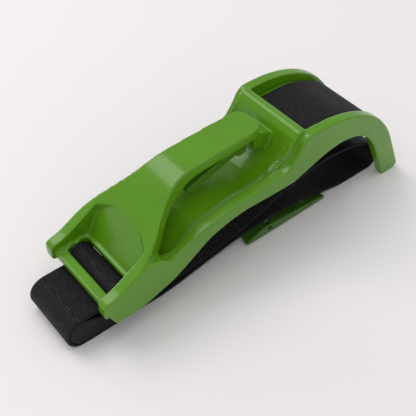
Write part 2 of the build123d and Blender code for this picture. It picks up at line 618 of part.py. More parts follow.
def build_nodes():
    """Every piece by its name."""
    return {
        "frame_body": make_frame_body(),
        "strap_saddle": make_saddle(),
        "saddle_screws": make_saddle_screws(),
        "front_roller": make_roller(),
        "roller_bushes": make_bushes(),
        "roller_washers": make_washers(),
        "roller_axle": rod(ROLLER_X, ROLLER_Z, AXLE_R, -AXLE_HALF, OUTER_HALF - 0.6),
        "guide_core": make_core(),
        "core_screws": make_core_screws(),
        "release_trigger": make_trigger(),
        "trigger_pin": rod(TRIGGER_X, TRIGGER_Z, PIN_R, -TRIGGER_PIN_END, TRIGGER_WIDTH / 2 - 0.2),
        "trigger_spring": Pos(SPRING_FOOT[0], 0, SPRING_FOOT[1]) * coil(3.2, SPRING_WIRE, 5, 1.9),
        "lock_cam": make_cam(),
        "cam_pin": rod(CAM_X, CAM_Z, PIN_R, -CAM_PIN_HALF, CAM_PIN_HALF),
        "cam_spring": turned_coil(CAM_X, CAM_Z, CAM_HIGH, 3.1, 2.6),
        "foot_shoe": make_foot(),
        "foot_pad": make_foot_pad(),
        "foot_rivets": make_rivets(),
        "foot_bracket": make_bracket(),
        "bracket_screws": make_bracket_screws(),
        "foot_pin": rod(FOOT_X, FOOT_Z, FOOT_PIN_R, -14.6, BRACKET_FACE + 1.4),
        "foot_spring": turned_coil(FOOT_X, FOOT_Z, FOOT_FAR + 0.2, 3.2, 2.6),
        "pin_clip": make_pin_clip(),
        "webbing_strap": slab(band(ROUTE, ROUTE_RADII, WEB_T), -WEB_HALF, WEB_HALF),
    }


os.makedirs("parts", exist_ok=True)
place = Pos(-MID_X, 0, 0)
for name, shape in build_nodes().items():
    solids = shape if isinstance(shape, list) else [shape]
    placed = [place * solid for solid in solids]
    result = placed[0] if len(placed) == 1 else Compound(children=placed)
    export_step(result, f"parts/{name}.step")
print("webbing length", round(band(ROUTE, ROUTE_RADII, WEB_T).area / WEB_T, 1))
print("shift", round(MID_X, 3))
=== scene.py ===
"""Looks of a hand tensioner for 50 mm webbing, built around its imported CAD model."""

import logging
import math
from dataclasses import dataclass, field
from enum import Enum
from typing import Sequence

import bmesh
import bpy
import numpy as np
from mathutils import Matrix, Vector


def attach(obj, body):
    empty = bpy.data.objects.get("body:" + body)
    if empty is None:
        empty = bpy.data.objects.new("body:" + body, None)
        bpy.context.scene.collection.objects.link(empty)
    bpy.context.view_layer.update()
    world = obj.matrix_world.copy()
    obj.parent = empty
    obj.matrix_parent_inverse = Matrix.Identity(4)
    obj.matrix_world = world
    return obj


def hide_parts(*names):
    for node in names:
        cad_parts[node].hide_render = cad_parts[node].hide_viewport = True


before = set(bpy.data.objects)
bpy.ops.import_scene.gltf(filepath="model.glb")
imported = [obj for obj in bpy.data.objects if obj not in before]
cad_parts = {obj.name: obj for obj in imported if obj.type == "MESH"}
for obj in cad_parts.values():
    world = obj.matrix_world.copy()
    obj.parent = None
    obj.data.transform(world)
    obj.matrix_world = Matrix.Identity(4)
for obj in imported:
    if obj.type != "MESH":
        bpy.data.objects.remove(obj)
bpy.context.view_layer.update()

log = logging.getLogger("tensioner")

MM = 0.001
STATION_SHIFT = 123.1
Color = tuple[float, float, float]
Place = tuple[float, float, float]
EVEN: Place = (1.0, 1.0, 1.0)
ACROSS = Matrix.Rotation(math.radians(-90), 4, "X")
BLOCK_WIDTH = 6.25
BLOCK_LENGTH = 9.45


def here(x: float, y: float, z: float) -> Vector:
    """Turn a place given in millimetres from the nose window into a point of the shared frame."""
    return Vector(((x - STATION_SHIFT) * MM, y * MM, z * MM))


class Body(Enum):
    """The rigid bodies that pieces ride on."""

    FRAME = "frame"
    TRIGGER = "trigger"
    CAM = "cam"
    FOOT = "foot"


class Slot(Enum):
    """The record's material slots."""

    BODY = "body_green"
    TRIGGER = "trigger_green"
    WEBBING = "webbing"
    CORE = "core_black"
    ZINC = "steel_zinc"
    CAM = "steel_cam"
    SPRING = "spring_steel"


# ---------------------------------------------------------------- node helpers


class NodeDesk:
    """Adds nodes to a tree and joins them, so that a material reads as a few lines."""

    def __init__(self, tree: bpy.types.NodeTree) -> None:
        """Remember the tree that nodes are added to."""
        self.tree = tree

    def add(self, kind: str, **settings: object) -> bpy.types.Node:
        """Add one node.

        Args:
            kind: Blender's name of the node type.
            settings: properties to set on the node.

        Returns:
            The new node.
        """
        node = self.tree.nodes.new(kind)
        for name, value in settings.items():
            setattr(node, name, value)
        return node

    def join(self, source: bpy.types.NodeSocket, target: bpy.types.NodeSocket) -> None:
        """Link an output to an input."""
        self.tree.links.new(source, target)

    def math(
        self, operation: str, first: object, second: object = None, third: object = None
    ) -> bpy.types.NodeSocket:
        """Add a math node.

        Args:
            operation: Blender's name of the operation.
            first: a socket or a number.
            second: a socket, a number or nothing.
            third: a socket, a number or nothing.

        Returns:
            The result's socket.
        """
        node = self.add("ShaderNodeMath", operation=operation)
        for i, value in enumerate((first, second, third)):
            if value is None:
                continue
            if isinstance(value, (int, float)):
                node.inputs[i].default_value = value
            else:
                self.join(value, node.inputs[i])
        return node.outputs[0]

    def blend(self, share: bpy.types.NodeSocket, low: object, high: object) -> bpy.types.NodeSocket:
        """Blend two colours.

        Args:
            share: how much of the second colour shows.
            low: a colour or a socket.
            high: a colour or a socket.

        Returns:
            The blended colour's socket.
        """
        node = self.add("ShaderNodeMix", data_type="RGBA")
        self.join(share, node.inputs["Factor"])
        for name, value in (("A", low), ("B", high)):
            socket = next(s for s in node.inputs if s.name == name and s.type == "RGBA")
            if isinstance(value, tuple):
                socket.default_value = (*value, 1.0)
            else:
                self.join(value, socket)
        return next(s for s in node.outputs if s.type == "RGBA")

    def span(
        self, value: bpy.types.NodeSocket, low: float, high: float, to_low: float, to_high: float
    ) -> bpy.types.NodeSocket:
        """Map a range of a value onto another range, clamped.

        Args:
            value: the socket to map.
            low: value that gives to_low.
            high: value that gives to_high.
            to_low: result at low.
            to_high: result at high.

        Returns:
            The mapped value's socket.
        """
        node = self.add("ShaderNodeMapRange")
        self.join(value, node.inputs["Value"])
        for name, number in (("From Min", low), ("From Max", high), ("To Min", to_low), ("To Max", to_high)):
            node.inputs[name].default_value = number
        return node.outputs["Result"]


def new_group(
    name: str, inputs: Sequence[tuple[str, str, object]], outputs: Sequence[tuple[str, str]]
) -> tuple[bpy.types.NodeTree, NodeDesk, bpy.types.Node, bpy.types.Node]:
    """Start a shader node group.

    Args:
        name: the group's name.
        inputs: (name, kind, default) of each input.
        outputs: (name, kind) of each output.

    Returns:
        The tree, its desk, its input node and its output node.
    """
    tree = bpy.data.node_groups.new(name, "ShaderNodeTree")
    for label, kind, value in inputs:
        socket = tree.interface.new_socket(label, in_out="INPUT", socket_type=f"NodeSocket{kind}")
        if value is not None:
            socket.default_value = value
    for label, kind in outputs:
        tree.interface.new_socket(label, in_out="OUTPUT", socket_type=f"NodeSocket{kind}")
    desk = NodeDesk(tree)
    return tree, desk, desk.add("NodeGroupInput"), desk.add("NodeGroupOutput")


class Effects:
    """Shader node groups that several finishes share, each built once."""

    def __init__(self) -> None:
        """Build the groups."""
        self.grain = self._grain()
        self.wear = self._wear()
        self.weave = self._weave()

    @staticmethod
    def _grain() -> bpy.types.NodeTree:
        """Build the fine unevenness of a moulded or brushed surface."""
        tree, desk, start, end = new_group(
            "surface_grain",
            [
                ("Scale", "Float", 900.0),
                ("Stretch", "Vector", (1.0, 1.0, 1.0)),
                ("Cloud Scale", "Float", 18.0),
            ],
            [("Height", "Float"), ("Cloud", "Float")],
        )
        coordinates = desk.add("ShaderNodeTexCoord")
        scaled = desk.add("ShaderNodeVectorMath", operation="MULTIPLY")
        desk.join(coordinates.outputs["Object"], scaled.inputs[0])
        desk.join(start.outputs["Stretch"], scaled.inputs[1])
        fine = desk.add("ShaderNodeTexNoise")
        fine.inputs["Detail"].default_value = 3.0
        desk.join(scaled.outputs[0], fine.inputs["Vector"])
        desk.join(start.outputs["Scale"], fine.inputs["Scale"])
        cloud = desk.add("ShaderNodeTexNoise")
        cloud.inputs["Detail"].default_value = 2.0
        desk.join(coordinates.outputs["Object"], cloud.inputs["Vector"])
        desk.join(start.outputs["Cloud Scale"], cloud.inputs["Scale"])
        desk.join(fine.outputs[0], end.inputs["Height"])
        desk.join(cloud.outputs[0], end.inputs["Cloud"])
        return tree

    @staticmethod
    def _wear() -> bpy.types.NodeTree:
        """Build the rubbed mask on outer edges."""
        tree, desk, start, end = new_group(
            "edge_wear",
            [("Low", "Float", 0.52), ("High", "Float", 0.60), ("Patch Scale", "Float", 60.0)],
            [("Mask", "Float")],
        )
        geometry = desk.add("ShaderNodeNewGeometry")
        coordinates = desk.add("ShaderNodeTexCoord")
        noise = desk.add("ShaderNodeTexNoise")
        desk.join(coordinates.outputs["Object"], noise.inputs["Vector"])
        desk.join(start.outputs["Patch Scale"], noise.inputs["Scale"])
        node = desk.add("ShaderNodeMapRange")
        desk.join(geometry.outputs["Pointiness"], node.inputs["Value"])
        desk.join(start.outputs["Low"], node.inputs["From Min"])
        desk.join(start.outputs["High"], node.inputs["From Max"])
        patches = desk.span(noise.outputs[0], 0.35, 0.65, 0.3, 1.0)
        desk.join(desk.math("MULTIPLY", node.outputs["Result"], patches), end.inputs["Mask"])
        return tree

    @staticmethod
    def _weave() -> bpy.types.NodeTree:
        """Build the yarns of webbing on its own UV map, which counts in millimetres, with a share of painted
        highlight on the rib ridges and painted shade in the grooves.
        """
        tree, desk, start, end = new_group(
            "webbing_yarns",
            [("Yarn", "Float", 0.8), ("Rib", "Float", 1.575)],
            [("Height", "Float"), ("Tint", "Float")],
        )
        uv = desk.add("ShaderNodeUVMap", uv_map="strap_mm")
        split = desk.add("ShaderNodeSeparateXYZ")
        desk.join(uv.outputs[0], split.inputs[0])
        across, along = split.outputs[0], split.outputs[1]
        block_column = desk.math("FLOOR", desk.math("DIVIDE", across, BLOCK_WIDTH))
        block_row = desk.math("FLOOR", desk.math("DIVIDE", along, BLOCK_LENGTH))
        blocks = desk.math("ADD", block_column, block_row)
        shift = desk.math("MULTIPLY", desk.math("MODULO", blocks, 2.0), 0.5)
        turns = desk.math("ADD", desk.math("DIVIDE", along, start.outputs["Rib"]), shift)
        ribs = desk.span(desk.math("SINE", desk.math("MULTIPLY", turns, 2 * math.pi)), -0.75, 0.2, 0.0, 1.0)
        yarn_turns = desk.math("DIVIDE", across, start.outputs["Yarn"])
        yarns = desk.math("SINE", desk.math("MULTIPLY", yarn_turns, 2 * math.pi))
        height = desk.math("ADD", desk.math("MULTIPLY", yarns, 0.12), ribs)
        noise = desk.add("ShaderNodeTexNoise")
        noise.inputs["Scale"].default_value = 1.0
        noise.inputs["Detail"].default_value = 2.0
        stretched = desk.add("ShaderNodeVectorMath", operation="MULTIPLY")
        stretched.inputs[1].default_value = (0.25, 0.6, 1.0)
        desk.join(uv.outputs[0], stretched.inputs[0])
        desk.join(stretched.outputs[0], noise.inputs["Vector"])
        rough_height = desk.math("ADD", height, desk.math("MULTIPLY", noise.outputs[0], 0.3))
        desk.join(rough_height, end.inputs["Height"])
        # This share is painted highlight on the rib ridges and painted shade in the grooves, made uneven by
        # noise.
        uneven = desk.span(noise.outputs[0], 0.3, 0.7, 0.35, 1.0)
        desk.join(desk.math("MULTIPLY", ribs, uneven), end.inputs["Tint"])
        return tree


# ---------------------------------------------------------------- finishes


@dataclass(frozen=True)
class Finish:
    """What every finish has: a name, a colour and a gloss."""

    name: str
    color: Color
    roughness: float

    def start(self) -> tuple[bpy.types.Material, NodeDesk, bpy.types.Node]:
        """Make the material with its shader's constant values set.

        Returns:
            The material, the desk of its tree and its Principled shader.
        """
        material = bpy.data.materials.new(self.name)
        material.use_nodes = True
        shader = material.node_tree.nodes["Principled BSDF"]
        shader.inputs["Base Color"].default_value = (*self.color, 1.0)
        shader.inputs["Roughness"].default_value = self.roughness
        return material, NodeDesk(material.node_tree), shader

    def bump(
        self, desk: NodeDesk, shader: bpy.types.Node, height: bpy.types.NodeSocket, depth: float
    ) -> None:
        """Join a height to the shader's normal.

        Args:
            desk: desk of the material's tree.
            shader: its Principled shader.
            height: the height socket.
            depth: how deep the height reads, in metres.
        """
        node = desk.add("ShaderNodeBump")
        node.inputs["Strength"].default_value = 1.0
        node.inputs["Distance"].default_value = depth
        desk.join(height, node.inputs["Height"])
        desk.join(node.outputs[0], shader.inputs["Normal"])

    def mix(self, low: float, high: float) -> tuple[Color, Color]:
        """Return the finish's colour darkened and lightened by two factors."""
        return tuple(c * low for c in self.color), tuple(min(c * high, 1.0) for c in self.color)


@dataclass(frozen=True)
class MouldedNylon(Finish):
    """Glossy moulded plastic with faint flow clouds, fine skin and rubbed edges."""

    coat: float = 0.28
    skin: float = 0.00002
    rub: Color = (0.20, 0.42, 0.08)
    rub_share: float = 0.35

    def build(self, effects: Effects) -> bpy.types.Material:
        """Make the material.

        Args:
            effects: the shared node groups.

        Returns:
            The material.
        """
        material, desk, shader = self.start()
        shader.inputs["Coat Weight"].default_value = self.coat
        shader.inputs["Coat Roughness"].default_value = 0.09
        shader.inputs["Specular IOR Level"].default_value = 0.28
        grain = desk.add("ShaderNodeGroup", node_tree=effects.grain)
        grain.inputs["Scale"].default_value = 1400.0
        grain.inputs["Cloud Scale"].default_value = 22.0
        wear = desk.add("ShaderNodeGroup", node_tree=effects.wear)
        dark, light = self.mix(0.93, 1.08)
        tone = desk.blend(desk.span(grain.outputs["Cloud"], 0.3, 0.7, 0.0, 1.0), dark, light)
        rubbed = desk.math("MULTIPLY", wear.outputs["Mask"], self.rub_share)
        desk.join(desk.blend(rubbed, tone, self.rub), shader.inputs["Base Color"])
        low, high = self.roughness - 0.04, self.roughness + 0.06
        desk.join(desk.span(grain.outputs["Cloud"], 0.3, 0.7, low, high), shader.inputs["Roughness"])
        self.bump(desk, shader, grain.outputs["Height"], self.skin)
        return material


@dataclass(frozen=True)
class WovenWebbing(Finish):
    """Cross-ribbed polyester webbing, with painted highlight on the rib ridges and painted shade in the
    grooves.
    """

    # pale: colour of the painted highlight on the rib ridges; the base colour shows as painted shade in the
    # grooves.
    pale: Color = (0.017, 0.015, 0.019)

    def build(self, effects: Effects) -> bpy.types.Material:
        """Make the material.

        Args:
            effects: the shared node groups.

        Returns:
            The material.
        """
        material, desk, shader = self.start()
        shader.inputs["Specular IOR Level"].default_value = 0.22
        weave = desk.add("ShaderNodeGroup", node_tree=effects.weave)
        # Base colour: painted highlight on the ridges and painted shade in the grooves, following the rib
        # pattern.
        desk.join(desk.blend(weave.outputs["Tint"], self.color, self.pale), shader.inputs["Base Color"])
        gloss = desk.span(weave.outputs["Tint"], 0.0, 1.0, self.roughness + 0.15, self.roughness - 0.12)
        desk.join(gloss, shader.inputs["Roughness"])
        self.bump(desk, shader, weave.outputs["Height"], 0.0003)
        return material


@dataclass(frozen=True)
class Metal(Finish):
    """Bare or plated metal with a brushed or cast grain."""

    metallic: float = 1.0
    stretch: Place = (1.0, 12.0, 1.0)
    grain: float = 700.0
    depth: float = 0.00001
    rub: Color = (0.75, 0.75, 0.74)

    def build(self, effects: Effects) -> bpy.types.Material:
        """Make the material.

        Args:
            effects: the shared node groups.

        Returns:
            The material.
        """
        material, desk, shader = self.start()
        shader.inputs["Metallic"].default_value = self.metallic
        grain = desk.add("ShaderNodeGroup", node_tree=effects.grain)
        grain.inputs["Scale"].default_value = self.grain
        grain.inputs["Stretch"].default_value = self.stretch
        grain.inputs["Cloud Scale"].default_value = 90.0
        wear = desk.add("ShaderNodeGroup", node_tree=effects.wear)
        dark, light = self.mix(0.8, 1.12)
        tone = desk.blend(desk.span(grain.outputs["Cloud"], 0.3, 0.7, 0.0, 1.0), dark, light)
        desk.join(desk.blend(wear.outputs["Mask"], tone, self.rub), shader.inputs["Base Color"])
        gloss = desk.span(grain.outputs["Height"], 0.3, 0.7, self.roughness - 0.08, self.roughness + 0.1)
        desk.join(gloss, shader.inputs["Roughness"])
        self.bump(desk, shader, grain.outputs["Height"], self.depth)
        return material


@dataclass(frozen=True)
class DullPolymer(Finish):
    """Rubber or satin black plastic with a pebbled skin."""

    pebble: float = 1100.0
    depth: float = 0.00006

    def build(self, effects: Effects) -> bpy.types.Material:
        """Make the material.

        Args:
            effects: the shared node groups.

        Returns:
            The material.
        """
        material, desk, shader = self.start()
        grain = desk.add("ShaderNodeGroup", node_tree=effects.grain)
        grain.inputs["Scale"].default_value = self.pebble
        shader.inputs["Specular IOR Level"].default_value = 0.22
        dark, light = self.mix(0.8, 1.4)
        tone = desk.blend(desk.span(grain.outputs["Cloud"], 0.3, 0.7, 0.0, 1.0), dark, light)
        desk.join(tone, shader.inputs["Base Color"])
        gloss = desk.span(grain.outputs["Cloud"], 0.3, 0.7, self.roughness - 0.05, self.roughness + 0.08)
        desk.join(gloss, shader.inputs["Roughness"])
        self.bump(desk, shader, grain.outputs["Height"], self.depth)
        return material


@dataclass(frozen=True)
class StudioFloor(Finish):
    """Plain pale paper under the object."""

    def build(self, effects: Effects) -> bpy.types.Material:
        """Make the material.

        Args:
            effects: the shared node groups.

        Returns:
            The material.
        """
        material, desk, shader = self.start()
        shader.inputs["Specular IOR Level"].default_value = 0.25
        grain = desk.add("ShaderNodeGroup", node_tree=effects.grain)
        grain.inputs["Cloud Scale"].default_value = 2.0
        dark, light = self.mix(0.985, 1.01)
        desk.join(desk.blend(grain.outputs["Cloud"], dark, light), shader.inputs["Base Color"])
        return material


class Palette:
    """Every finish of the tensioner, built on first use."""

    FINISHES = (
        MouldedNylon("leaf_green_nylon", (0.092, 0.262, 0.003), 0.28),
        MouldedNylon("saddle_green_nylon", (0.084, 0.270, 0.004), 0.30),
        MouldedNylon("lever_green_nylon", (0.052, 0.165, 0.004), 0.34),
        MouldedNylon("foot_green_nylon", (0.034, 0.110, 0.005), 0.36),
        WovenWebbing("black_webbing", (0.0022, 0.002, 0.0025), 0.58),
        WovenWebbing("thread_black", (0.012, 0.012, 0.014), 0.7),
        Metal("zinc_plate", (0.62, 0.62, 0.60), 0.32),
        Metal("hardened_cam_steel", (0.16, 0.16, 0.165), 0.42, stretch=EVEN, depth=0.00003),
        Metal("drawn_spring_wire", (0.45, 0.45, 0.47), 0.28),
        Metal("sintered_bronze", (0.50, 0.34, 0.15), 0.40, stretch=EVEN, grain=1500.0, depth=0.00003),
        Metal(
            "black_powder_coat", (0.02, 0.02, 0.021), 0.45, metallic=0.0, stretch=EVEN, depth=0.00005,
            rub=(0.08, 0.08, 0.08),
        ),
        Metal(
            "painted_rivet", (0.045, 0.145, 0.015), 0.35, metallic=0.0, stretch=EVEN,
            rub=(0.30, 0.34, 0.26),
        ),
        DullPolymer("satin_black_nylon", (0.003, 0.0028, 0.0034), 0.46),
        DullPolymer("grip_rubber", (0.018, 0.018, 0.018), 0.75, pebble=600.0, depth=0.00012),
        StudioFloor("pale_paper", (0.89, 0.85, 0.85), 0.65),
    )

    def __init__(self) -> None:
        """Build the shared groups and remember the finishes by name."""
        self.effects = Effects()
        self.recipes = {finish.name: finish for finish in self.FINISHES}
        self.made: dict[str, bpy.types.Material] = {}

    def get(self, name: str) -> bpy.types.Material:
        """Return a finish's material, building it the first time."""
        if name not in self.made:
            self.made[name] = self.recipes[name].build(self.effects)
        return self.made[name]


# ---------------------------------------------------------------- mesh helpers


class Shop:
    """Makes finished pieces from arrays and CAD nodes, and hands them to their bodies."""

    def __init__(self, palette: Palette) -> None:
        """Remember the palette."""
        self.palette = palette

    def from_arrays(self, name: str, points: np.ndarray, faces: Sequence[Sequence[int]]) -> bpy.types.Object:
        """Make a mesh object.

        Args:
            name: the object's name.
            points: vertices in metres.
            faces: vertex numbers of each face.

        Returns:
            The new object.
        """
        mesh = bpy.data.meshes.new(name)
        mesh.from_pydata([tuple(p) for p in points], [], [tuple(f) for f in faces])
        mesh.update()
        piece = bpy.data.objects.new(name, mesh)
        bpy.context.scene.collection.objects.link(piece)
        return piece

    def copy_node(self, node: str, name: str) -> bpy.types.Object:
        """Copy a CAD node into a new object with its doubles merged.

        Args:
            node: the CAD node's name.
            name: the new object's name.

        Returns:
            The copy.
        """
        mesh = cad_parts[node].data.copy()
        mesh.name = name
        mesh.materials.clear()
        work = bmesh.new()
        work.from_mesh(mesh)
        bmesh.ops.remove_doubles(work, verts=work.verts, dist=0.00001)
        work.to_mesh(mesh)
        work.free()
        for layer in list(mesh.uv_layers):
            mesh.uv_layers.remove(layer)
        piece = bpy.data.objects.new(name, mesh)
        bpy.context.scene.collection.objects.link(piece)
        return piece

    def bake(self, piece: bpy.types.Object) -> None:
        """Replace a piece's mesh by its evaluated one and drop its modifiers."""
        graph = bpy.context.evaluated_depsgraph_get()
        mesh = bpy.data.meshes.new_from_object(piece.evaluated_get(graph), depsgraph=graph)
        piece.modifiers.clear()
        old = piece.data
        piece.data = mesh
        mesh.name = piece.name
        bpy.data.meshes.remove(old)

    def soften(
        self, piece: bpy.types.Object, voxel: float, passes: int, share: float = 0.5, most: int = 150000
    ) -> None:
        """Round every edge of a closed piece: voxel remesh, smooth, then thin out the mesh.

        Args:
            piece: the piece to round.
            voxel: voxel size in millimetres.
            passes: smoothing passes.
            share: strength of each pass.
            most: most faces that may be left before it is thinned.
        """
        remesh = piece.modifiers.new("skin", "REMESH")
        remesh.mode = "VOXEL"
        remesh.voxel_size = voxel * MM
        remesh.use_smooth_shade = True
        smooth = piece.modifiers.new("round", "SMOOTH")
        smooth.factor = share
        smooth.iterations = passes
        self.bake(piece)
        if len(piece.data.polygons) > most:
            thin = piece.modifiers.new("thin", "DECIMATE")
            thin.ratio = most / len(piece.data.polygons)
            self.bake(piece)
        piece.data.shade_smooth()

    def finish(
        self, piece: bpy.types.Object, material: str, slot: Slot, body: Body, *nodes: str
    ) -> bpy.types.Object:
        """Dress a piece and hand it to its body.

        Args:
            piece: the finished piece.
            material: name of its finish.
            slot: the record's slot, not used.
            body: the body it rides on.
            nodes: CAD nodes it stands for.

        Returns:
            The piece.
        """
        piece.data.materials.clear()
        piece.data.materials.append(self.palette.get(material))
        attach(piece, body.value)
        if nodes:
            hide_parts(*nodes)
        log.info("%s: %d faces on %s, %s", piece.name, len(piece.data.polygons), body.value, material)
        return piece

    def dress_node(self, node: str, material: str) -> None:
        """Give a CAD node that keeps its shape a finish."""
        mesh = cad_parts[node].data
        mesh.materials.clear()
        mesh.materials.append(self.palette.get(material))
        log.info("%s: CAD shape, %s", node, material)


def rounded_route(corners: Sequence[tuple[float, float]], radii: Sequence[float], step: float) -> np.ndarray:
    """Follow a route whose corners are arcs.

    Args:
        corners: the route's corners.
        radii: radius at each inner corner.
        step: largest distance between two points.

    Returns:
        Points along the route, close together.
    """
    points = [np.array(corners[0], float)]
    for before, corner, after, radius in zip(corners, corners[1:], corners[2:], radii):
        before, corner, after = (np.array(p, float) for p in (before, corner, after))
        inward = (before - corner) / np.linalg.norm(before - corner)
        outward = (after - corner) / np.linalg.norm(after - corner)
        turn = math.pi - math.acos(float(np.clip(inward @ outward, -1, 1)))
        if turn < 1e-4:
            continue
        reach = radius * math.tan(turn / 2)
        centre = corner + (inward + outward) / np.linalg.norm(inward + outward) * radius / math.cos(turn / 2)
        first, last = corner + inward * reach - centre, corner + outward * reach - centre
        start = math.atan2(first[1], first[0])
        sweep = (math.atan2(last[1], last[0]) - start + math.pi) % (2 * math.pi) - math.pi
        count = max(int(abs(sweep) * radius / step), 2)
        for i in range(count + 1):
            angle = start + sweep * i / count
            points.append(centre + radius * np.array([math.cos(angle), math.sin(angle)]))
    points.append(np.array(corners[-1], float))
    line = np.array(points)
    keep = np.r_[True, np.linalg.norm(np.diff(line, axis=0), axis=1) > 1e-5]
    line = line[keep]
    length = np.r_[0, np.cumsum(np.linalg.norm(np.diff(line, axis=0), axis=1))]
    count = int(length[-1] / step)
    even = np.linspace(0, length[-1], count + 1)
    return np.stack([np.interp(even, length, line[:, 0]), np.interp(even, length, line[:, 1])], 1)


# ---------------------------------------------------------------- geometry node trees


def input_names(tree: bpy.types.NodeTree) -> dict[str, str]:
    """Map the names of a tree's inputs to their identifiers.

    Args:
        tree: a Geometry Nodes tree.

    Returns:
        Identifiers by name.
    """
    items = [item for item in tree.interface.items_tree if item.item_type == "SOCKET"]
    return {item.name: item.identifier for item in items if item.in_out == "INPUT"}


class CopiesOnPoints:
    """Geometry Nodes tree that puts a turned copy of a pattern mesh on each vertex of a carrier."""

    def __init__(self, shop: Shop) -> None:
        """Build the tree."""
        self.shop = shop
        tree = bpy.data.node_groups.new("copies_on_points", "GeometryNodeTree")
        kinds = (("Geometry", "Geometry"), ("Pattern", "Object"), ("Size", "Float"), ("Finish", "Material"))
        for label, kind in kinds:
            tree.interface.new_socket(label, in_out="INPUT", socket_type=f"NodeSocket{kind}")
        tree.interface.new_socket("Geometry", in_out="OUTPUT", socket_type="NodeSocketGeometry")
        desk = NodeDesk(tree)
        start, end = desk.add("NodeGroupInput"), desk.add("NodeGroupOutput")
        info = desk.add("GeometryNodeObjectInfo")
        desk.join(start.outputs["Pattern"], info.inputs["Object"])
        turn = desk.add("GeometryNodeInputNamedAttribute", data_type="FLOAT_VECTOR")
        turn.inputs["Name"].default_value = "turn"
        angles = desk.add("FunctionNodeEulerToRotation")
        desk.join(turn.outputs["Attribute"], angles.inputs[0])
        copies = desk.add("GeometryNodeInstanceOnPoints")
        desk.join(start.outputs["Geometry"], copies.inputs["Points"])
        desk.join(info.outputs["Geometry"], copies.inputs["Instance"])
        desk.join(angles.outputs[0], copies.inputs["Rotation"])
        desk.join(start.outputs["Size"], copies.inputs["Scale"])
        real = desk.add("GeometryNodeRealizeInstances")
        desk.join(copies.outputs["Instances"], real.inputs[0])
        dressed = desk.add("GeometryNodeSetMaterial")
        desk.join(real.outputs[0], dressed.inputs["Geometry"])
        desk.join(start.outputs["Finish"], dressed.inputs["Material"])
        desk.join(dressed.outputs[0], end.inputs["Geometry"])
        self.tree = tree

    def place(
        self,
        name: str,
        pattern: bpy.types.Object,
        places: Sequence[Vector],
        turns: Sequence[Place],
        material: str,
        size: float = 1.0,
    ) -> bpy.types.Object:
        """Put a copy of the pattern at each place.

        Args:
            name: name of the new piece.
            pattern: the mesh object to copy, removed afterwards.
            places: where each copy goes, in metres.
            turns: Euler angles of each copy.
            material: name of the finish.
            size: scale of every copy.

        Returns:
            A plain mesh object that holds all copies.
        """
        carrier = self.shop.from_arrays(name, np.array([tuple(p) for p in places]), [])
        attribute = carrier.data.attributes.new("turn", "FLOAT_VECTOR", "POINT")
        attribute.data.foreach_set("vector", np.array(turns, np.float32).ravel())
        modifier = carrier.modifiers.new("copies", "NODES")
        modifier.node_group = self.tree
        sockets = input_names(self.tree)
        modifier[sockets["Pattern"]] = pattern
        modifier[sockets["Size"]] = size
        modifier[sockets["Finish"]] = self.shop.palette.get(material)
        self.shop.bake(carrier)
        mesh = pattern.data
        bpy.data.objects.remove(pattern)
        bpy.data.meshes.remove(mesh)
        carrier.data.shade_smooth()
        return carrier


class WoundWire:
    """Geometry Nodes tree that winds a round wire about Z."""

    def __init__(self, shop: Shop) -> None:
        """Build the tree."""
        self.shop = shop
        tree = bpy.data.node_groups.new("wound_wire", "GeometryNodeTree")
        for label in ("Turns", "Radius", "Height", "Wire"):
            tree.interface.new_socket(label, in_out="INPUT", socket_type="NodeSocketFloat")
        tree.interface.new_socket("Finish", in_out="INPUT", socket_type="NodeSocketMaterial")
        tree.interface.new_socket("Geometry", in_out="OUTPUT", socket_type="NodeSocketGeometry")
        desk = NodeDesk(tree)
        start, end = desk.add("NodeGroupInput"), desk.add("NodeGroupOutput")
        spiral = desk.add("GeometryNodeCurveSpiral")
        spiral.inputs["Resolution"].default_value = 28
        desk.join(start.outputs["Turns"], spiral.inputs["Rotations"])
        desk.join(start.outputs["Radius"], spiral.inputs["Start Radius"])
        desk.join(start.outputs["Radius"], spiral.inputs["End Radius"])
        desk.join(start.outputs["Height"], spiral.inputs["Height"])
        circle = desk.add("GeometryNodeCurvePrimitiveCircle")
        circle.inputs["Resolution"].default_value = 10
        desk.join(start.outputs["Wire"], circle.inputs["Radius"])
        tube = desk.add("GeometryNodeCurveToMesh")
        tube.inputs["Fill Caps"].default_value = True
        desk.join(spiral.outputs[0], tube.inputs["Curve"])
        desk.join(circle.outputs[0], tube.inputs["Profile Curve"])
        real = desk.add("GeometryNodeRealizeInstances")
        desk.join(tube.outputs[0], real.inputs[0])
        dressed = desk.add("GeometryNodeSetMaterial")
        desk.join(real.outputs[0], dressed.inputs["Geometry"])
        desk.join(start.outputs["Finish"], dressed.inputs["Material"])
        desk.join(dressed.outputs[0], end.inputs["Geometry"])
        self.tree = tree

    def wind(
        self, name: str, turns: float, radius: float, height: float, wire: float, place: Matrix
    ) -> bpy.types.Object:
        """Wind one spring.

        Args:
            name: name of the new piece.
            turns: number of turns.
            radius: radius of the winding in millimetres.
            height: length of the winding in millimetres.
            wire: radius of the wire in millimetres.
            place: where the winding's start and axis go.

        Returns:
            The spring as a plain mesh object.
        """
        piece = self.shop.from_arrays(name, np.zeros((1, 3)), [])
        modifier = piece.modifiers.new("winding", "NODES")
        modifier.node_group = self.tree
        sockets = input_names(self.tree)
        values = {"Turns": turns, "Radius": radius * MM, "Height": height * MM, "Wire": wire * MM}
        for label, value in values.items():
            modifier[sockets[label]] = float(value)
        modifier[sockets["Finish"]] = self.shop.palette.get("drawn_spring_wire")
        self.shop.bake(piece)
        piece.data.transform(place)
        piece.data.shade_smooth()
        return piece


# ---------------------------------------------------------------- sub-assemblies


